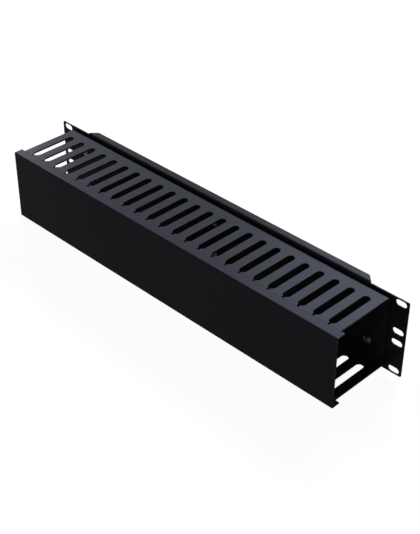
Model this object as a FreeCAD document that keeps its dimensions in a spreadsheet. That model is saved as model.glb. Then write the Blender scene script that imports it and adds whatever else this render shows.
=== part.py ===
"""Horizontal cable manager for a 19-inch rack, two rack units high.

A folded steel panel carries a finger duct on six blind rivets, and a cover snaps over the
fingertips. X runs along the panel, Y points to the rear of the rack and Z up. The origin is
the middle of the rack slots' pattern, on the ears' front face. All sizes are in millimetres.
"""
import FreeCAD, Part
import math
import os
import re
import Sketcher

# Driving dimensions: name, value, meaning.
SIZES = [
    ("rack_unit_height", 44.45, "one rack unit"),
    ("panel_play", 0.8, "how much lower the panel is than its two rack units"),
    ("panel_width", 482.6, "19-inch panel, over the ears"),
    ("sheet", 1.5, "thickness of the panel's steel"),
    ("ear_step", 1.45, "from the flange's outer face to the ears' upper edge"),
    ("ear_corner", 1.5, "radius of the ears' corners"),
    ("bend_inner", 0.5, "inner radius of the folds"),
    ("flange_depth", 8.7, "from the panel's front face to the flange's rear edge"),
    ("flange_inset", 44.3, "from the panel's end to the start of a flange"),
    ("flange_taper", 7.3, "how far each end of a flange narrows to its rear edge"),
    ("bend_relief", 0.8, "width of the notch beside each end of a fold"),
    ("rack_slot_width", 6.5, "clearance slot for a rack screw"),
    ("rack_slot_length", 12.3, "end to end"),
    ("rack_slot_inset", 8.75, "from the panel's end to a slot's middle"),
    ("rack_row_offset", 6.35, "from a rack unit's edge to its first and last row of holes"),
    ("duct_height", 80.0, "over the upper and lower walls"),
    ("duct_wall", 2.0, "thickness of the duct's walls"),
    ("duct_bend", 2.0, "inner radius where the back wall meets the upper and lower walls"),
    ("slot_count", 24, "cable slots in each wall"),
    ("slot_width", 8.0, "cable slot"),
    ("finger_width", 10.0, "between two slots, and past the last one"),
    ("slot_back", 14.0, "from the panel to the slots' rear ends"),
    ("slot_to_lip", 3.0, "from the slots' front ends to the cover's lip"),
    ("slit_width", 2.6, "narrow way in from the fingertips to a slot"),
    ("slit_mouth", 4.0, "width of the flared mouth of a slit"),
    ("mouth_depth", 3.0, "length of the flared mouth"),
    ("manager_depth", 80.0, "from the panel's front face to the cover's front face"),
    ("cover_wall", 1.5, "thickness of the cover"),
    ("cover_lip", 10.0, "depth of the cover's lips"),
    ("cover_overhang", 5.0, "how far the cover passes each end of the duct"),
    ("cover_edge", 0.8, "outer radius along the cover's front edges"),
    ("hook_rise", 0.4, "height of the hook inside a lip"),
    ("hook_crest", 0.6, "flat crest of the hook and of the bead"),
    ("bead_rise", 0.4, "height of the bead on the fingertips"),
    ("snap_slope", 0.4, "run of the slopes on the hook and the bead"),
    ("snap_gap", 0.3, "clearance between hook and bead, and between the fingertips and the cover"),
    ("seat_gap", 0.05, "clearance between the cover's lips and the duct's walls that they meet"),
    ("tip_wall", 1.6, "thickness of the fingertips"),
    ("tip_slope", 2.5, "run of the slope inside the step to the fingertips"),
    ("rivet_inset", 20.0, "from the duct's end to the outer rivets"),
    ("rivet_rise", 19.0, "from the middle to a row of rivets"),
    ("rivet_radius", 2.4, "shank of a blind rivet"),
    ("rivet_play", 0.1, "radial clearance of a shank in its holes"),
    ("head_radius", 4.75, "rivet head"),
    ("head_height", 1.5, "rivet head"),
    ("head_rim", 0.4, "height of the head's rim"),
    ("head_dome", 7.0, "radius of the head's dome"),
    ("tail_radius", 3.2, "where the set tail bears on the panel"),
    ("tail_end_radius", 2.5, "far end of the set tail"),
    ("tail_length", 3.8, "set tail behind the panel"),
    ("mandrel_radius", 1.35, "stub of the mandrel"),
    ("mandrel_play", 0.03, "radial clearance of the stub in the rivet"),
    ("break_depth", 0.5, "how deep the stub's broken end lies in the head"),
    ("button_radius", 2.2, "the mandrel's own head, which has swollen the tail"),
    ("button_length", 1.8, "the mandrel's own head"),
    ("button_bevel", 0.7, "round the far end of that head"),
]

# Sizes that follow from the ones above.
PANEL_HALF = "(panel_width / 2)"
PANEL_TOP = "(rack_unit_height - panel_play / 2)"
EAR_TOP = f"({PANEL_TOP} - ear_step)"
BEND_OUTER = "(bend_inner + sheet)"
BEND_START = f"({PANEL_TOP} - {BEND_OUTER})"
FLANGE_HALF = f"({PANEL_HALF} - flange_inset)"
RACK_SLOT_X = f"({PANEL_HALF} - rack_slot_inset)"
RACK_ROWS = ("(rack_unit_height - rack_row_offset)", "rack_row_offset")
SLOT_PITCH = "(slot_width + finger_width)"
DUCT_HALF = f"((slot_count * {SLOT_PITCH} + finger_width) / 2)"
DUCT_TOP = "(duct_height / 2)"
DUCT_INSIDE = f"({DUCT_TOP} - duct_wall)"
LIP_BACK = "(manager_depth - cover_lip)"
STEP_FRONT = f"({LIP_BACK} - seat_gap)"
SLOT_FRONT = f"({LIP_BACK} - slot_to_lip)"
PLATE_BACK = "(manager_depth - cover_wall)"
TIP_END = f"({PLATE_BACK} - snap_gap)"
LIP_INSIDE = f"({DUCT_TOP} - cover_wall)"
HOOK_TOP = f"({LIP_INSIDE} - hook_rise)"
HOOK_RUN = "(hook_crest + 2 * snap_slope)"
BEAD_TOP = f"({HOOK_TOP} - snap_gap)"
BEAD_BACK = f"({LIP_BACK} + {HOOK_RUN} + snap_gap)"
TIP_OUTSIDE = f"({BEAD_TOP} - bead_rise)"
TIP_INSIDE = f"({TIP_OUTSIDE} - tip_wall)"
COVER_HALF = f"({DUCT_HALF} + cover_overhang)"
RIVET_X = f"({DUCT_HALF} - rivet_inset)"
BORE_RADIUS = "(mandrel_radius + mandrel_play)"

doc = FreeCAD.newDocument("cable_manager")


def fill_sheet():
    """Writes the driving dimensions to the spreadsheet, one named cell each."""
    sheet = doc.addObject("Spreadsheet::Sheet", "Sizes")
    for row, (name, size, meaning) in enumerate(SIZES, start=1):
        sheet.set(f"A{row}", meaning)
        sheet.set(f"B{row}", str(size))
        sheet.setAlias(f"B{row}", name)
    doc.recompute()


def in_sheet(text):
    """Turns a size written with the plain names into an expression on the sheet."""
    return re.sub(r"[a-z_]+", lambda word: "Sizes." + word.group(), text)


def number(text):
    """Today's value of such a size."""
    return float(doc.Sizes.evalExpression(in_sheet(text)))


def bind(thing, path, text):
    """Ties a property of a feature to the sheet."""
    thing.setExpression(path, in_sheet(text))


def new_body(name):
    """A sub-part of its own, with its label and its placement."""
    body = doc.addObject("PartDesign::Body", name)
    body.Label = name
    body.Placement = FreeCAD.Placement()
    return body


def new_sketch(body, name, plane):
    """An empty sketch on one of the body's own origin planes."""
    support = next(part for part in body.Origin.OriginFeatures if part.Role == plane)
    sketch = body.newObject("Sketcher::SketchObject", name)
    sketch.AttachmentSupport = [(support, "")]
    sketch.MapMode = "FlatFace"
    return sketch


def dimension(sketch, kind, place, text):
    """Adds a driving dimension to a sketch and ties it to the sheet."""
    index = sketch.addConstraint(Sketcher.Constraint(kind, *place, number(text)))
    name = f"size_{index}"
    sketch.renameConstraint(index, name)
    bind(sketch, f"Constraints.{name}", text)


def put(sketch, curve, point, x, y):
    """Sets where a curve's point lies in the sketch."""
    dimension(sketch, "DistanceX", (-1, 1, curve, point), x)
    dimension(sketch, "DistanceY", (-1, 1, curve, point), y)


def arc_between(start, end, radius):
    """An arc to the left of the way from start to end, or to the right if radius is negative."""
    chord = end - start
    side = FreeCAD.Vector(-chord.y, chord.x, 0).normalize()
    drop = math.sqrt(radius * radius - chord.Length ** 2 / 4)
    turn = math.copysign(1, radius)
    centre = (start + end) / 2 - side * drop * turn
    circle = Part.Circle(centre, FreeCAD.Vector(0, 0, 1), abs(radius))
    first, last = (end, start) if turn > 0 else (start, end)
    return Part.ArcOfCircle(circle, circle.parameter(first), circle.parameter(last))


def outline(sketch, corners, arcs=None):
    """A closed outline through the corners. arcs gives a radius to the edge after a corner."""
    arcs = arcs or {}
    points = [FreeCAD.Vector(number(x), number(y), 0) for x, y in corners]
    ends = []
    for index, start in enumerate(points):
        end = points[(index + 1) % len(points)]
        if index in arcs:
            side, radius = arcs[index]
            curve = sketch.addGeometry(arc_between(start, end, side * number(radius)), False)
            ends.append((curve, 2, 1) if side > 0 else (curve, 1, 2))
            dimension(sketch, "Radius", (curve,), radius)
        else:
            curve = sketch.addGeometry(Part.LineSegment(start, end), False)
            ends.append((curve, 1, 2))
    for index, (curve, first, last) in enumerate(ends):
        following, its_first, _ = ends[(index + 1) % len(ends)]
        sketch.addConstraint(Sketcher.Constraint("Coincident", curve, last, following, its_first))
        put(sketch, curve, first, *corners[index])


def circle(sketch, x, y, radius):
    """A round hole's outline."""
    shape = Part.Circle(FreeCAD.Vector(number(x), number(y), 0), FreeCAD.Vector(0, 0, 1), number(radius))
    curve = sketch.addGeometry(shape, False)
    dimension(sketch, "Radius", (curve,), radius)
    put(sketch, curve, 3, x, y)


def stadium(sketch, low, high, radius):
    """A slot's outline with round ends, whose centres are low and high."""
    centres = [FreeCAD.Vector(number(x), number(y), 0) for x, y in (high, low)]
    along = (centres[0] - centres[1]).normalize()
    heading = math.atan2(along.y, along.x)
    reach = number(radius)
    arcs = []
    for centre, start in zip(centres, (heading - math.pi / 2, heading + math.pi / 2)):
        round_end = Part.Circle(centre, FreeCAD.Vector(0, 0, 1), reach)
        arcs.append(sketch.addGeometry(Part.ArcOfCircle(round_end, start, start + math.pi), False))
    side = FreeCAD.Vector(-along.y, along.x, 0) * reach
    lines = [
        sketch.addGeometry(Part.LineSegment(centres[0] + side, centres[1] + side), False),
        sketch.addGeometry(Part.LineSegment(centres[1] - side, centres[0] - side), False),
    ]
    for arc, after, before in ((0, 0, 1), (1, 1, 0)):
        sketch.addConstraint(Sketcher.Constraint("Tangent", arcs[arc], 2, lines[after], 1))
        sketch.addConstraint(Sketcher.Constraint("Tangent", lines[before], 2, arcs[arc], 1))
    sketch.addConstraint(Sketcher.Constraint("Equal", arcs[0], arcs[1]))
    dimension(sketch, "Radius", (arcs[0],), radius)
    put(sketch, arcs[0], 3, *high)
    put(sketch, arcs[1], 3, *low)


def pad(body, sketch, name, length, to_both_sides=False, backwards=False):
    """Gives a sketch its thickness."""
    feature = body.newObject("PartDesign::Pad", name)
    feature.Profile = sketch
    feature.SideType = "Symmetric" if to_both_sides else "One side"
    feature.Reversed = backwards
    bind(feature, "Length", length)
    doc.recompute()
    return feature


def pocket(body, sketch, name):
    """Cuts a sketch's outline through all there is on both sides of it."""
    before = body.Shape.Volume
    feature = body.newObject("PartDesign::Pocket", name)
    feature.Profile = sketch
    feature.SideType = "Symmetric"
    feature.Type = "ThroughAll"
    doc.recompute()
    if body.Shape.Volume >= before:
        raise RuntimeError(f"{name} cuts nothing")
    return feature


def fillet(body, base, name, axis, places, radius):
    """Rounds the edges that run along an axis at the given places in the plane across it."""
    others = [index for index in range(3) if index != "XYZ".index(axis)]
    wanted = [tuple(number(text) for text in place) for place in places]
    names = []
    for index, edge in enumerate(base.Shape.Edges, start=1):
        ends = [[vertex.Point[other] for other in others] for vertex in edge.Vertexes]
        for place in wanted:
            if all(math.dist(end, place) < 1e-4 for end in ends):
                names.append(f"Edge{index}")
    if len(names) != len(places):
        raise RuntimeError(f"{name} finds {len(names)} of its {len(places)} edges")
    feature = body.newObject("PartDesign::Fillet", name)
    feature.Base = (base, names)
    bind(feature, "Radius", radius)
    doc.recompute()
    return feature


def mirrored(corners):
    """An outline's upper half, followed by its mirror image below."""
    return corners + [(x, f"-{z}") for x, z in reversed(corners)]


def rivet_holes(body, name):
    """The six holes for the rivets, drilled alike through the panel and the duct."""
    sketch = new_sketch(body, f"{name}_outline", "XZ_Plane")
    for x in (f"-{RIVET_X}", "0", RIVET_X):
        for z in ("rivet_rise", "-rivet_rise"):
            circle(sketch, x, z, "rivet_radius + rivet_play")
    return pocket(body, sketch, name)


def make_panel():
    """One sheet: ears with slots, and a flange folded to the rear along each long edge."""
    body = new_body("rack_panel")
    notch = f"({FLANGE_HALF} + bend_relief)"
    quarter = [(FLANGE_HALF, BEND_START), (notch, BEND_START), (notch, EAR_TOP), (PANEL_HALF, EAR_TOP)]
    half = quarter + [(x, f"-{z}") for x, z in reversed(quarter)]
    plate = new_sketch(body, "plate_outline", "XZ_Plane")
    outline(plate, half + [(f"-{x}", z) for x, z in reversed(half)])
    front = pad(body, plate, "plate", "sheet", backwards=True)
    corners = [(x + PANEL_HALF, z + EAR_TOP) for x in ("", "-") for z in ("", "-")]
    fillet(body, front, "ear_corners", "Y", corners, "ear_corner")
    for name, sign in (("upper", ""), ("lower", "-")):
        fold = new_sketch(body, f"{name}_fold_outline", "YZ_Plane")
        section = [
            ("0", sign + BEND_START),
            (BEND_OUTER, sign + PANEL_TOP),
            ("flange_depth", sign + PANEL_TOP),
            ("flange_depth", f"{sign}({PANEL_TOP} - sheet)"),
            (BEND_OUTER, f"{sign}({PANEL_TOP} - sheet)"),
            ("sheet", sign + BEND_START),
        ]
        turn = 1 if sign == "" else -1
        outline(fold, section, {0: (turn, BEND_OUTER), 4: (-turn, "bend_inner")})
        pad(body, fold, f"{name}_fold", f"2 * {FLANGE_HALF}", to_both_sides=True)
    taper = new_sketch(body, "taper_outline", "XY_Plane")
    for sign in ("", "-"):
        outline(taper, [
            (f"{sign}{FLANGE_HALF}", "sheet"),
            (f"{sign}({FLANGE_HALF} - flange_taper)", "flange_depth"),
            (f"{sign}({FLANGE_HALF} - flange_taper)", "flange_depth + sheet"),
            (f"{sign}({FLANGE_HALF} + sheet)", "flange_depth + sheet"),
            (f"{sign}({FLANGE_HALF} + sheet)", "sheet"),
        ])
    pocket(body, taper, "flange_tapers")
    slots = new_sketch(body, "rack_slot_outline", "XZ_Plane")
    straight = "(rack_slot_length - rack_slot_width) / 2"
    for x in (RACK_SLOT_X, f"-{RACK_SLOT_X}"):
        for row in RACK_ROWS:
            for z in (row, f"-{row}"):
                stadium(slots, (f"{x} - {straight}", z), (f"{x} + {straight}", z), "rack_slot_width / 2")
    pocket(body, slots, "rack_slots")
    rivet_holes(body, "panel_rivet_holes")
    return body


def make_duct():
    """A U channel. Slots with narrow ways in leave the fingers, whose tips step in for the cover."""
    body = new_body("finger_duct")
    section = new_sketch(body, "duct_section", "YZ_Plane")
    upper = [
        ("0", DUCT_TOP),
        (f"-{STEP_FRONT}", DUCT_TOP),
        (f"-{STEP_FRONT}", TIP_OUTSIDE),
        (f"-{BEAD_BACK}", TIP_OUTSIDE),
        (f"-({BEAD_BACK} + snap_slope)", BEAD_TOP),
        (f"-({BEAD_BACK} + snap_slope + hook_crest)", BEAD_TOP),
        (f"-({BEAD_BACK} + {HOOK_RUN})", TIP_OUTSIDE),
        (f"-{TIP_END}", TIP_OUTSIDE),
        (f"-{TIP_END}", TIP_INSIDE),
        (f"-{STEP_FRONT}", TIP_INSIDE),
        (f"-({STEP_FRONT} - tip_slope)", DUCT_INSIDE),
        ("-duct_wall", DUCT_INSIDE),
    ]
    outline(section, mirrored(upper))
    walls = pad(body, section, "walls", f"2 * {DUCT_HALF}", to_both_sides=True)
    outer = [("0", DUCT_TOP), ("0", f"-{DUCT_TOP}")]
    rounded = fillet(body, walls, "outer_bends", "X", outer, "duct_bend + duct_wall")
    inner = [("-duct_wall", DUCT_INSIDE), ("-duct_wall", f"-{DUCT_INSIDE}")]
    fillet(body, rounded, "inner_bends", "X", inner, "duct_bend")
    rivet_holes(body, "duct_rivet_holes")

    first = f"(-(slot_count - 1) * {SLOT_PITCH} / 2)"
    slot = new_sketch(body, "slot_outline", "XY_Plane")
    radius = "(slot_width / 2)"
    stadium(slot, (first, f"-({SLOT_FRONT} - {radius})"), (first, f"-(slot_back + {radius})"), radius)
    slot_cut = pocket(body, slot, "first_slot")
    slit = new_sketch(body, "slit_outline", "XY_Plane")
    steps = [
        ("slit_width / 2", f"-({SLOT_FRONT} - {radius})"),
        ("slit_width / 2", f"-({TIP_END} - mouth_depth)"),
        ("slit_mouth / 2", f"-{TIP_END}"),
        ("slit_mouth / 2", "-manager_depth"),
    ]
    right = [(f"{first} + {half}", y) for half, y in steps]
    left = [(f"{first} - {half}", y) for half, y in reversed(steps)]
    outline(slit, right + left)
    slit_cut = pocket(body, slit, "first_slit")
    pattern = body.newObject("PartDesign::LinearPattern", "all_slots")
    pattern.Originals = [slot_cut, slit_cut]
    pattern.Direction = (slot, ["H_Axis"])
    pattern.Mode = "Extent"
    bind(pattern, "Length", f"(slot_count - 1) * {SLOT_PITCH}")
    bind(pattern, "Occurrences", "slot_count")
    body.Tip = pattern
    doc.recompute()
    return body


def make_cover():
    """A shallow channel whose lips lie flush with the duct and hook behind the fingertips' beads."""
    body = new_body("front_cover")
    section = new_sketch(body, "cover_section", "YZ_Plane")
    upper = [
        ("-manager_depth", DUCT_TOP),
        (f"-{LIP_BACK}", DUCT_TOP),
        (f"-{LIP_BACK}", LIP_INSIDE),
        (f"-({LIP_BACK} + snap_slope)", HOOK_TOP),
        (f"-({LIP_BACK} + snap_slope + hook_crest)", HOOK_TOP),
        (f"-({LIP_BACK} + {HOOK_RUN})", LIP_INSIDE),
        (f"-{PLATE_BACK}", LIP_INSIDE),
    ]
    outline(section, mirrored(upper))
    walls = pad(body, section, "cover_walls", f"2 * {COVER_HALF}", to_both_sides=True)
    edges = [("-manager_depth", DUCT_TOP), ("-manager_depth", f"-{DUCT_TOP}")]
    fillet(body, walls, "front_edges", "X", edges, "cover_edge")
    return body


def turned(body, name, corners, arcs=None):
    """Turns a half section about the rivet's axis, which runs along Y."""
    section = new_sketch(body, f"{name}_section", "YZ_Plane")
    outline(section, corners, arcs)
    feature = body.newObject("PartDesign::Revolution", f"{name}_turned")
    feature.Profile = section
    feature.ReferenceAxis = (section, ["H_Axis"])
    feature.Angle = 360
    doc.recompute()


def set_place(body, x, z):
    """Moves a rivet or a mandrel from the origin to its hole."""
    bind(body, "Placement.Base.x", x)
    bind(body, "Placement.Base.z", z)


def make_rivet(place, x, z):
    """A set blind rivet: domed head in the duct, shank through both walls, tail behind the panel."""
    body = new_body(f"rivet_{place}")
    head_top = "-(duct_wall + head_height)"
    tail_end = "(sheet + tail_length)"
    dome_inner = f"({BORE_RADIUS} + head_rim)"
    corners = [
        (head_top, BORE_RADIUS),
        (head_top, dome_inner),
        ("-(duct_wall + head_rim)", "head_radius"),
        ("-duct_wall", "head_radius"),
        ("-duct_wall", "rivet_radius"),
        ("sheet", "rivet_radius"),
        ("sheet", "tail_radius"),
        (tail_end, "tail_end_radius"),
        (tail_end, BORE_RADIUS),
    ]
    turned(body, f"rivet_{place}", corners, {1: (1, "head_dome")})
    set_place(body, x, z)
    return body


def make_mandrel(place, x, z):
    """The stub that stays in the rivet: broken end in the head, its own head behind the tail."""
    body = new_body(f"mandrel_{place}")
    tail_end = "(sheet + tail_length)"
    broken_end = "-(duct_wall + head_height - break_depth)"
    button_end = f"({tail_end} + button_length)"
    corners = [
        (broken_end, "0"),
        (broken_end, "mandrel_radius"),
        (tail_end, "mandrel_radius"),
        (tail_end, "button_radius"),
        (f"({button_end} - button_bevel)", "button_radius"),
        (button_end, "(button_radius - button_bevel)"),
        (button_end, "0"),
    ]
    turned(body, f"mandrel_{place}", corners)
    set_place(body, x, z)
    return body


fill_sheet()
parts = [make_panel(), make_duct(), make_cover()]
for row, z in (("upper", "rivet_rise"), ("lower", "-rivet_rise")):
    for column, x in (("left", f"-{RIVET_X}"), ("middle", "0"), ("right", RIVET_X)):
        parts.append(make_rivet(f"{row}_{column}", x, z))
        parts.append(make_mandrel(f"{row}_{column}", x, z))
doc.recompute()

for thing in doc.Objects:
    if {"Invalid", "Error"} & set(thing.State):
        raise RuntimeError(f"{thing.Label} failed: {thing.State}")
os.makedirs("parts", exist_ok=True)
for body in parts:
    if body.Shape.isNull() or not body.Shape.isValid() or len(body.Shape.Solids) != 1:
        raise RuntimeError(f"{body.Label} isn't one valid solid")
for body in parts:
    body.Shape.exportStep(f"parts/{body.Label}.step")
    box = body.Shape.BoundBox
    print(
        f"{body.Label:24} X {box.XMin:8.2f} {box.XMax:8.2f}  Y {box.YMin:7.2f} {box.YMax:7.2f}"
        f"  Z {box.ZMin:7.2f} {box.ZMax:7.2f}  {body.Shape.Volume / 1000:8.2f} cm3"
    )
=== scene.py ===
# %% [markdown]
# # A horizontal cable manager, two rack units high
# A folded steel panel bolts across a 19-inch equipment rack. A black plastic duct is riveted to it, with a
# comb of slots along its upper and lower wall, and a plastic cover clips over the fingertips in front. The
# solids come from CAD at their real size, so this notebook only gives them their finish: rounded edges,
# powder coat, extruded plastic, and the six small rivets, which are turned here in more detail. The next
# The next cell loads those solids as a fixed frame. They are never moved, and every new piece is placed by
# their boxes and hung under one empty for the whole manager.

import math
import random

import bmesh
import bpy
from mathutils import Matrix, Vector


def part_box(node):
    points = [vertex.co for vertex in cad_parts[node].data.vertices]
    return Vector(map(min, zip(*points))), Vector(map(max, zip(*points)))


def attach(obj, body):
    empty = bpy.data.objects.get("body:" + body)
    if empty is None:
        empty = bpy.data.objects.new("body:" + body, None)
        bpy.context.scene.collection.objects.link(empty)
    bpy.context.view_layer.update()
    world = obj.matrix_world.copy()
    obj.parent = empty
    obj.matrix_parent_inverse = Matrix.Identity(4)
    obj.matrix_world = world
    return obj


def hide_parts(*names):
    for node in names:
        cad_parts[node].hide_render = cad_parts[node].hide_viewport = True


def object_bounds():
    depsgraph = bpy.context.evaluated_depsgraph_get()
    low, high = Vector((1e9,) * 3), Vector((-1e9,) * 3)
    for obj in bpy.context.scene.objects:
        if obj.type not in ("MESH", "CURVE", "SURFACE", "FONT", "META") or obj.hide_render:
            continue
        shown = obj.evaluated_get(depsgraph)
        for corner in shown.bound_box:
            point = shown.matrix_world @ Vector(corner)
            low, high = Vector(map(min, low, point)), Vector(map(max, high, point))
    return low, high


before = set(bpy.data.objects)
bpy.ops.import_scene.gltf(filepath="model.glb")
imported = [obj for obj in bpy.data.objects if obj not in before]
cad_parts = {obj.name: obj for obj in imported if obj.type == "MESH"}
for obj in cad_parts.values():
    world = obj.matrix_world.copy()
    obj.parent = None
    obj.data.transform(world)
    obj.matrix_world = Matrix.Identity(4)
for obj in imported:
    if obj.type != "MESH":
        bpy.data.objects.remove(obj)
cad_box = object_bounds()
MM = 0.001
MIDDLE = (cad_box[0] + cad_box[1]) / 2
print("the part measures", [round(side / MM, 1) for side in cad_box[1] - cad_box[0]], "mm")

# %% [markdown]
# ## The camera
# A photograph can be matched by eye, by turning the view until it looks right, or from things in it whose
# real places are known. The rack slots are such things: their pattern is a standard, so eight slots give
# the camera's place, its direction and its lens. Blender's sensor width belongs to the longer side of the
# picture.

# %% Place the camera
PICTURE_HEIGHT = 534
FOCAL_LENGTH_PIXELS = 1151.9
SENSOR = 36.0
AZIMUTH, ELEVATION, ROLL = (math.radians(angle) for angle in (-44.91, 35.18, 0.16))
CAMERA_PLACE = Vector((0.6901, -0.7000, 0.65495))

forward = Vector((
    math.sin(AZIMUTH) * math.cos(ELEVATION),
    math.cos(AZIMUTH) * math.cos(ELEVATION),
    -math.sin(ELEVATION),
))
right = Vector((math.cos(AZIMUTH), -math.sin(AZIMUTH), 0.0))
up = right.cross(forward)
roll = Matrix.Rotation(-ROLL, 3, forward)
turn = Matrix((roll @ right, roll @ up, -forward)).transposed()

camera = bpy.data.objects.new("camera", bpy.data.cameras.new("camera"))
camera.data.sensor_width = SENSOR
camera.data.lens = FOCAL_LENGTH_PIXELS / PICTURE_HEIGHT * SENSOR
camera.matrix_world = Matrix.Translation(CAMERA_PLACE) @ turn.to_4x4()
bpy.context.scene.collection.objects.link(camera)
bpy.context.scene.camera = camera
print("lens", round(camera.data.lens, 2), "mm")

# %% [markdown]
# ## The room
# Black plastic shows little of its own colour. What tells its faces apart is where the light comes from.
# One big softbox overhead would light the upward faces evenly, but they are to shine more towards both
# ends. So three small softboxes stand high behind the part and one at its left, and their soft reflections
# do that. In front is only a weak strip just above the floor: it reaches the cover, and the duct keeps it
# off the panel behind. The tints of the lamps and the surroundings were set by comparing the faces' colours
# with the photograph. The floor is white to the eye but dark to bounced light, or it would lift the front.
# Light Path does that: rays from the camera, and reflections, see white, and all the others see the floor's
# own dark paint.

# %% A helper that adds a shader node
def add(tree, kind, inputs=None, **settings):
    """Adds a node, sets its properties, and fills each named input with a number or another node's output."""
    node = tree.nodes.new(kind)
    for name, value in settings.items():
        setattr(node, name, value)
    for name, value in (inputs or {}).items():
        if isinstance(value, bpy.types.NodeSocket):
            tree.links.new(value, node.inputs[name])
        else:
            node.inputs[name].default_value = value
    return node


def seen(tree):
    """1 for rays that show a surface as it is: from the camera, mirrored or through something clear."""
    path = add(tree, "ShaderNodeLightPath")
    direct = add(tree, "ShaderNodeMath", {0: path.outputs["Is Camera Ray"], 1: path.outputs["Is Glossy Ray"]},
                 operation="MAXIMUM")
    return add(tree, "ShaderNodeMath", {0: direct.outputs[0], 1: path.outputs["Is Transmission Ray"]},
               operation="MAXIMUM").outputs[0]


# %% The white surroundings
AMBIENT = 0.085

world = bpy.data.worlds.new("surroundings")
world.use_nodes = True
bpy.context.scene.world = world
sky = world.node_tree
white = add(sky, "ShaderNodeBackground", {"Color": (1, 1, 1, 1), "Strength": 1.0})
dim = add(sky, "ShaderNodeBackground", {"Color": (0.86, 0.77, 1.0, 1), "Strength": AMBIENT})
mixed = add(sky, "ShaderNodeMixShader", {0: seen(sky), 1: dim.outputs[0], 2: white.outputs[0]})
sky.links.new(mixed.outputs[0], sky.nodes["World Output"].inputs["Surface"])
bpy.context.scene.view_settings.view_transform = "Standard"

# %% The floor
FLOOR_SIZE = 60.0
FLOOR_GLOW = 0.96
FLOOR_PAINT = 0.06

floor_mesh = bpy.data.meshes.new("floor")
plane = bmesh.new()
bmesh.ops.create_grid(plane, x_segments=1, y_segments=1, size=FLOOR_SIZE / 2)
bmesh.ops.translate(plane, verts=plane.verts, vec=(0, 0, cad_box[0].z))
plane.to_mesh(floor_mesh)
plane.free()
floor = bpy.data.objects.new("floor", floor_mesh)
bpy.context.scene.collection.objects.link(floor)

floor_material = bpy.data.materials.new("floor_paint")
floor_material.use_nodes = True
paint = floor_material.node_tree
paint.nodes.remove(paint.nodes["Principled BSDF"])
matt = add(paint, "ShaderNodeBsdfDiffuse", {"Color": (FLOOR_PAINT, FLOOR_PAINT, FLOOR_PAINT, 1)})
level = add(paint, "ShaderNodeMath", {0: seen(paint), 1: FLOOR_GLOW}, operation="MULTIPLY")
glow = add(paint, "ShaderNodeEmission", {"Color": (1, 1, 1, 1), "Strength": level.outputs[0]})
both = add(paint, "ShaderNodeAddShader", {0: matt.outputs[0], 1: glow.outputs[0]})
paint.links.new(both.outputs[0], paint.nodes["Material Output"].inputs["Surface"])
floor_mesh.materials.append(floor_material)
print("the floor lies at", round(cad_box[0].z / MM, 2), "mm")


# %% The lamps
def softbox(name, place, size, watts, colour=(1.0, 1.0, 1.0), height=None):
    """An area lamp that faces the middle of the part. It is square unless it is given a height."""
    lamp = bpy.data.lights.new(name, "AREA")
    lamp.shape = "RECTANGLE"
    lamp.size = size
    lamp.size_y = height or size
    lamp.energy = watts
    lamp.color = colour
    holder = bpy.data.objects.new(name, lamp)
    holder.location = place
    holder.rotation_euler = (MIDDLE - Vector(place)).to_track_quat("-Z", "Y").to_euler()
    bpy.context.scene.collection.objects.link(holder)


softbox("left_softbox", (-1.48, 0.58, 0.68), 0.3, 13.5)
softbox("rear_softbox", (-0.45, 0.86, 0.92), 0.4, 11.0, (0.70, 0.76, 1.0))
softbox("cool_softbox", (-0.22, 0.98, 0.99), 0.4, 18.0, (0.62, 0.84, 1.0))
softbox("warm_softbox", (0.10, 1.05, 1.05), 0.4, 8.0, (1.0, 0.50, 0.18))
softbox("front_strip", (0.25, -1.5, 0.0), 0.8, 1.9, (1.0, 0.97, 0.92), height=0.07)

# %% [markdown]
# ## The finishes
# Every finish here is a Principled shader with patterns on the Object coordinates. Those are metres in the
# part's own frame, so a pattern's size can be given in millimetres and stays on its piece at every pose.
# Image textures could do the same, but a procedural pattern needs no file and has no seams.

# %% Helpers for patterns
def new_finish(name, roughness, specular, metallic=0.0):
    """A material, its node tree, its Principled shader and the Object coordinates."""
    material = bpy.data.materials.new(name)
    material.use_nodes = True
    tree = material.node_tree
    shader = tree.nodes["Principled BSDF"]
    shader.inputs["Roughness"].default_value = roughness
    shader.inputs["Specular IOR Level"].default_value = specular
    shader.inputs["Metallic"].default_value = metallic
    place = tree.nodes.new("ShaderNodeTexCoord").outputs["Object"]
    return material, tree, shader, place


def cloud(tree, place, size, stretch=(1.0, 1.0, 1.0), detail=3.0):
    """Soft irregular spots of about the given size, drawn out along an axis where stretch is above 1."""
    scaled = add(tree, "ShaderNodeMapping", {"Vector": place, "Scale": [1 / share for share in stretch]})
    return add(tree, "ShaderNodeTexNoise",
               {"Vector": scaled.outputs[0], "Scale": 1 / size, "Detail": detail}).outputs["Fac"]


def spread(tree, value, low, high):
    """Turns a cloud, which lies mostly between 0.3 and 0.7, into a range of numbers."""
    return add(tree, "ShaderNodeMapRange",
               {"Value": value, "From Min": 0.3, "From Max": 0.7, "To Min": low, "To Max": high}).outputs[0]


def shades(tree, value, dark, light):
    """Turns a cloud into a colour between two."""
    share = spread(tree, value, 0.0, 1.0)
    return add(tree, "ShaderNodeMix", {0: share, "A": (*dark, 1), "B": (*light, 1)}, data_type="RGBA")


def bumps(tree, height, depth, below=None):
    """A relief of the given depth, laid over another one."""
    inputs = {"Height": height, "Distance": depth, "Strength": 1.0}
    if below is not None:
        inputs["Normal"] = below
    return add(tree, "ShaderNodeBump", inputs).outputs[0]


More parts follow.
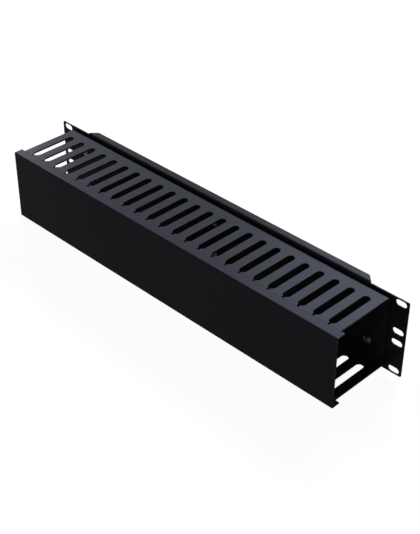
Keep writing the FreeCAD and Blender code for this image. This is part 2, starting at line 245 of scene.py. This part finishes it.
# %% Extruded plastic
def extruded_plastic(name, dark, light, roughness, specular):
    """Matt plastic with fine lines along X, the way it left the die, and a grain as fine as dust."""
    material, tree, shader, place = new_finish(name, roughness, specular)
    lines = cloud(tree, place, 0.7 * MM, stretch=(120, 1, 1))
    grain = cloud(tree, place, 0.25 * MM)
    patches = cloud(tree, place, 45 * MM, stretch=(3, 1, 1))
    colour = shades(tree, patches, dark, light)
    tree.links.new(colour.outputs["Result"], shader.inputs["Base Color"])
    tree.links.new(spread(tree, lines, roughness - 0.03, roughness + 0.03), shader.inputs["Roughness"])
    relief = bumps(tree, grain, 0.004 * MM, bumps(tree, lines, 0.002 * MM))
    tree.links.new(relief, shader.inputs["Normal"])
    return material


duct_plastic = extruded_plastic("extruded_duct", (0.033, 0.034, 0.040), (0.038, 0.039, 0.045), 0.30, 0.014)
cover_plastic = extruded_plastic("extruded_cover", (0.035, 0.035, 0.044), (0.040, 0.040, 0.049), 0.28, 0.010)


# %% Powder coat
def powder_coat():
    """Baked powder: a soft orange peel a millimetre and a half across, with a finer grain on it."""
    material, tree, shader, place = new_finish("powder_coat", roughness=0.3, specular=0.014)
    peel = cloud(tree, place, 1.5 * MM, detail=1.0)
    grain = cloud(tree, place, 0.3 * MM)
    patches = cloud(tree, place, 60 * MM)
    colour = shades(tree, patches, (0.024, 0.023, 0.026), (0.029, 0.028, 0.032))
    tree.links.new(colour.outputs["Result"], shader.inputs["Base Color"])
    tree.links.new(spread(tree, grain, 0.26, 0.34), shader.inputs["Roughness"])
    relief = bumps(tree, grain, 0.003 * MM, bumps(tree, peel, 0.010 * MM))
    tree.links.new(relief, shader.inputs["Normal"])
    return material


panel_coat = powder_coat()


# %% [markdown]
# ## The three large pieces
# Punched steel and cut plastic have edges a tenth to a third of a millimetre round, and those hairlines of
# light are what makes an edge look real. The CAD mesh itself stays as it is, so the rounding is a stack of
# modifiers. The mesh arrives as loose triangles: Weld joins them, Decimate melts flat neighbours into whole
# faces, Bevel rounds what is left sharp, and Weighted Normal keeps the large faces flat under smooth shading.

# %% A group that shades everything smooth
def mesh_group(name, kind, **settings):
    """A group of geometry nodes in which one node works on the mesh. Returns the group and that node."""
    group = bpy.data.node_groups.new(name, "GeometryNodeTree")
    for way in ("INPUT", "OUTPUT"):
        group.interface.new_socket("Geometry", in_out=way, socket_type="NodeSocketGeometry")
    arriving = group.nodes.new("NodeGroupInput")
    leaving = group.nodes.new("NodeGroupOutput")
    worker = add(group, kind, {"Geometry": arriving.outputs[0]}, **settings)
    group.links.new(worker.outputs[0], leaving.inputs[0])
    return group, worker


smooth_shading = mesh_group("smooth_shading", "GeometryNodeSetShadeSmooth")[0]

# %% [markdown]
# The rims of the cable slots are rounder than the duct's other edges. With sharp rims the slots looked
# narrower than in the photograph, and with all its edges rounder, the seam between the duct and the cover's
# lip became too plain. Vertex groups could tell the edges apart, but those would be written into the CAD
# mesh. Bevel can also follow a weight on each edge, so a group of nodes writes that on the way: the whole
# width where the slots run, a quarter of it on the other edges, and nothing where faces meet almost flat.

# %% Helpers for groups that weigh edges
SHARP = math.radians(30)


def reckon(tree, operation, *values):
    """One step of arithmetic on numbers and on other nodes' outputs."""
    return add(tree, "ShaderNodeMath", dict(enumerate(values)), operation=operation).outputs[0]


def weight_group(name):
    """A group that will write bevel weights, the node that writes them, and where each edge's middle is."""
    group, writer = mesh_group(name, "GeometryNodeStoreNamedAttribute", data_type="FLOAT", domain="EDGE")
    writer.inputs["Name"].default_value = "bevel_weight_edge"
    position = add(group, "GeometryNodeInputPosition").outputs[0]
    return group, writer, add(group, "ShaderNodeSeparateXYZ", {0: position}).outputs


def write_weight(group, writer, share, sharp):
    """Gives the share as a weight to each edge that turns by more than the angle sharp, and 0 to the rest."""
    turn_angle = add(group, "GeometryNodeInputMeshEdgeAngle").outputs["Unsigned Angle"]
    is_sharp = reckon(group, "GREATER_THAN", turn_angle, sharp)
    group.links.new(reckon(group, "MULTIPLY", share, is_sharp), writer.inputs["Value"])


# %% A group that tells slot rims from other edges
SLOTS_FRONT = -67.5 * MM
SLOTS_REAR = -13.5 * MM
DUCT_END_MARGIN = 4.0 * MM
OTHER_EDGES = 0.25

duct_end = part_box("finger_duct")[1].x
slots_middle = (SLOTS_FRONT + SLOTS_REAR) / 2
rim_weights, writer, edge_middle = weight_group("rim_weights")
along_slots = reckon(rim_weights, "COMPARE", edge_middle["Y"], slots_middle, SLOTS_REAR - slots_middle)
inside_ends = reckon(rim_weights, "COMPARE", edge_middle["X"], 0.0, duct_end - DUCT_END_MARGIN)
is_rim = reckon(rim_weights, "MULTIPLY", along_slots, inside_ends)
share = reckon(rim_weights, "MULTIPLY_ADD", is_rim, 1 - OTHER_EDGES, OTHER_EDGES)
write_weight(rim_weights, writer, share, SHARP)

# %% [markdown]
# The panel's edges are rounded alike, apart from a few that are too short for it. Where a flange ends, a
# small notch lets the sheet bend, and the foot of that notch meets the fold in a very short edge. The bevel
# would run past it and fold the mesh over, so the foot of each notch stays sharp. So do the edges of the
# flanges' slanted ends that turn by about 45 degrees, because inside the fold they are as short.

# %% A group that spares the notches beside the flanges
NOTCH_FOOT = 42.05 * MM
NOTCH_REACH = 0.15 * MM
FLANGE_END = 196.9 * MM
PANEL_SHARP = math.radians(50)

panel_weights, writer, edge_middle = weight_group("panel_weights")
from_middle = reckon(panel_weights, "ABSOLUTE", edge_middle["X"])
from_centre_line = reckon(panel_weights, "ABSOLUTE", edge_middle["Z"])
past_flange = reckon(panel_weights, "GREATER_THAN", from_middle, FLANGE_END)
at_foot = reckon(panel_weights, "COMPARE", from_centre_line, NOTCH_FOOT, NOTCH_REACH)
in_notch = reckon(panel_weights, "MULTIPLY", at_foot, past_flange)
share = reckon(panel_weights, "SUBTRACT", 1.0, in_notch)
write_weight(panel_weights, writer, share, PANEL_SHARP)

# %% [markdown]
# Two more settings keep the rounded mesh clean. Beside a fold the first facets of the bend turn by a degree
# or two, so the limit for melting is a little more than that: a narrower one leaves slivers as long as the
# fold, and the bevel turns them over. Loop slide moves the bevel's new corners along the edges that they
# meet, and it is off because some of those edges, at the folds and round the holes, are too short.

# %% Round the edges and give each piece its finish
ALMOST_FLAT = math.radians(2.5)
SAME_CORNER = 0.005 * MM


def round_edges(node, radius, weights):
    """Rounds a CAD node's edges by their weights or, where it has none, all its sharp edges."""
    node.modifiers.new("join_triangles", "WELD").merge_threshold = SAME_CORNER
    flats = node.modifiers.new("whole_faces", "DECIMATE")
    flats.decimate_type = "DISSOLVE"
    flats.angle_limit = ALMOST_FLAT
    if weights:
        node.modifiers.new("weigh_edges", "NODES").node_group = weights
    edges = node.modifiers.new("rounded_edges", "BEVEL")
    edges.limit_method = "WEIGHT" if weights else "ANGLE"
    edges.angle_limit = SHARP
    edges.width = radius
    edges.segments = 2
    edges.loop_slide = False
    edges.use_clamp_overlap = False
    node.modifiers.new("smooth", "NODES").node_group = smooth_shading
    node.modifiers.new("flat_faces", "WEIGHTED_NORMAL").weight = 100


def dress(name, material, edge, weights=None):
    """Gives a CAD node its finish, in place of the plain one it came with, and rounds its edges."""
    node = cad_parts[name]
    node.data.materials.clear()
    node.data.materials.append(material)
    round_edges(node, edge, weights)
    print(name, "wears", material.name, "with edges up to", round(edge / MM, 2), "mm round")


dress("rack_panel", panel_coat, 0.25 * MM, weights=panel_weights)
dress("finger_duct", duct_plastic, 0.36 * MM, weights=rim_weights)
dress("front_cover", cover_plastic, 0.08 * MM)

# %% [markdown]
# ## The blind rivets
# A blind rivet is a soft tube with a domed head. A steel mandrel pulls the tube's far end into a bulb and
# then snaps, and its stub stays inside. Both are turned shapes, so each starts as a half outline of a few
# corners, `bmesh.ops.spin` carries it once round the rivet's axis, and `bmesh.ops.bevel` rounds the rings
# where the outline turns sharply. The pieces fill the solids that they replace: their outer sizes are read
# from the CAD boxes, and the others are repeated here. Only the rounded rims, the slight bulge of the tail
# and the torn end of the stub are new.

# %% Measure the solids
DUCT_WALL = 2.0 * MM
PANEL_SHEET = 1.5 * MM
SHANK_RADIUS = 2.4 * MM
BORE_RADIUS = 1.38 * MM
RIM = 0.4 * MM

rivet_low, rivet_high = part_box("rivet_upper_middle")
HEAD_RADIUS = (rivet_high.x - rivet_low.x) / 2
HEAD_TOP = rivet_low.y
TAIL_END = rivet_high.y
print("rivet head", round(2 * HEAD_RADIUS / MM, 2), "mm across, tail to", round(TAIL_END / MM, 2), "mm")


# %% Helpers for turned pieces
def arc(start, end, radius, steps):
    """Corners from start to end along an arc that bulges away from the axis."""
    first, last = Vector(start), Vector(end)
    along = (last - first).normalized()
    outward = Vector((-along.y, along.x))
    half = (last - first).length / 2
    centre = (first + last) / 2 - outward * math.sqrt(radius ** 2 - half ** 2)
    widest = math.asin(half / radius)
    angles = [widest * (2 * step / steps - 1) for step in range(steps + 1)]
    spokes = [along * math.sin(angle) + outward * math.cos(angle) for angle in angles]
    return [tuple(centre + spoke * radius) for spoke in spokes]


def turned(outline, closed, rounding, steps=48):
    """Spins an outline of (place along Y, radius) corners round the Y axis, and rounds its sharp rings."""
    shape = bmesh.new()
    corners = [shape.verts.new((0, along, radius)) for along, radius in outline]
    following = corners[1:] + corners[:1] if closed else corners[1:]
    sides = [shape.edges.new(pair) for pair in zip(corners, following)]
    bmesh.ops.spin(shape, geom=corners + sides, axis=(0, 1, 0), cent=(0, 0, 0),
                   angle=2 * math.pi, steps=steps, use_merge=True)
    bmesh.ops.remove_doubles(shape, verts=shape.verts, dist=0.001 * MM)
    bmesh.ops.recalc_face_normals(shape, faces=shape.faces)
    sharp = [edge for edge in shape.edges if edge.calc_face_angle(0) > math.radians(25)]
    bmesh.ops.bevel(shape, geom=sharp, offset=rounding, offset_type="OFFSET", affect="EDGES",
                    segments=3, profile=0.5, material=-1, clamp_overlap=True)
    for face in shape.faces:
        face.smooth = True
    return shape


def fit_in_place(shape, node, material):
    """Moves a turned shape to its CAD solid, and makes it the piece that is shown in that solid's place."""
    low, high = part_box(node)
    bmesh.ops.translate(shape, verts=shape.verts, vec=((low.x + high.x) / 2, 0, (low.z + high.z) / 2))
    mesh = bpy.data.meshes.new(f"turned_{node}")
    shape.to_mesh(mesh)
    shape.free()
    mesh.materials.append(material)
    piece = bpy.data.objects.new(f"turned_{node}", mesh)
    bpy.context.scene.collection.objects.link(piece)
    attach(piece, "manager")
    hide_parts(node)
    return piece


# %% The metals
def dark_metal(name, dark, light, roughness):
    """Bare metal in the colours it is given, with patches of tarnish and scratches too fine to see one by
    one.
    """
    material, tree, shader, place = new_finish(name, roughness, specular=0.5, metallic=1.0)
    tarnish = cloud(tree, place, 1.2 * MM)
    scratches = cloud(tree, place, 0.12 * MM, stretch=(6, 1, 1))
    colour = shades(tree, tarnish, dark, light)
    tree.links.new(colour.outputs["Result"], shader.inputs["Base Color"])
    tree.links.new(spread(tree, tarnish, roughness + 0.08, roughness - 0.08), shader.inputs["Roughness"])
    tree.links.new(bumps(tree, scratches, 0.004 * MM), shader.inputs["Normal"])
    return material


# The rivets' colours are painted shade: bare metal made this dark to stand in for the shade inside the duct.
rivet_metal = dark_metal("rivet_metal", (0.058, 0.058, 0.052), (0.086, 0.086, 0.078), 0.34)
mandrel_steel = dark_metal("mandrel_steel", (0.034, 0.034, 0.032), (0.058, 0.058, 0.055), 0.50)

# %% Turn the rivets
DOME = 7.0 * MM
TAIL_ROOT_RADIUS = 3.2 * MM
TAIL_END_RADIUS = 2.5 * MM
TAIL_BULGE = 8.0 * MM

rivet_outline = [(HEAD_TOP, BORE_RADIUS)]
rivet_outline += arc((HEAD_TOP, BORE_RADIUS + RIM), (-DUCT_WALL - RIM, HEAD_RADIUS), DOME, 8)
rivet_outline += [(-DUCT_WALL, HEAD_RADIUS), (-DUCT_WALL, SHANK_RADIUS), (PANEL_SHEET, SHANK_RADIUS)]
rivet_outline += arc((PANEL_SHEET, TAIL_ROOT_RADIUS), (TAIL_END, TAIL_END_RADIUS), TAIL_BULGE, 6)
rivet_outline += [(TAIL_END, BORE_RADIUS)]

rows, columns = ("upper", "lower"), ("left", "middle", "right")
places = [f"{row}_{column}" for row in rows for column in columns]
for place in places:
    body = turned(rivet_outline, closed=True, rounding=0.08 * MM)
    rivet = fit_in_place(body, f"rivet_{place}", rivet_metal)
print(len(places), "rivets of", len(rivet.data.polygons), "faces")

# %% [markdown]
# The mandrel's stub ends inside the head in a torn cup, because steel that is pulled apart necks in before
# it breaks. Its other end is the button that drew the tail up. The torn face gets a small random height at
# each corner, from a seeded generator, so that it comes out the same in every run.

# %% Turn the mandrels
stub_low, stub_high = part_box("mandrel_upper_middle")
BREAK = stub_low.y
BUTTON_END = stub_high.y
BUTTON_RADIUS = (stub_high.x - stub_low.x) / 2
BUTTON_BEVEL = 0.7 * MM
STUB_RADIUS = 1.35 * MM
NECK = 0.35 * MM
CUP_DEPTH = 0.25 * MM
TEAR = 0.12 * MM

stub_outline = [
    (BREAK + CUP_DEPTH, 0),
    (BREAK + CUP_DEPTH * 0.7, STUB_RADIUS * 0.3),
    (BREAK + CUP_DEPTH * 0.3, STUB_RADIUS * 0.55),
    (BREAK, STUB_RADIUS * 0.75),
    (BREAK + NECK / 2, STUB_RADIUS * 0.88),
    (BREAK + NECK, STUB_RADIUS),
    (TAIL_END, STUB_RADIUS),
    (TAIL_END, BUTTON_RADIUS),
    (BUTTON_END - BUTTON_BEVEL, BUTTON_RADIUS),
    (BUTTON_END, BUTTON_RADIUS - BUTTON_BEVEL),
    (BUTTON_END, 0),
]
tear = random.Random(24)
for place in places:
    stub = turned(stub_outline, closed=False, rounding=0.05 * MM, steps=32)
    for corner in stub.verts:
        if corner.co.y < BREAK + NECK * 0.9:
            corner.co.y += tear.uniform(0, TEAR)
    mandrel = fit_in_place(stub, f"mandrel_{place}", mandrel_steel)
print(len(places), "mandrels of", len(mandrel.data.polygons), "faces")
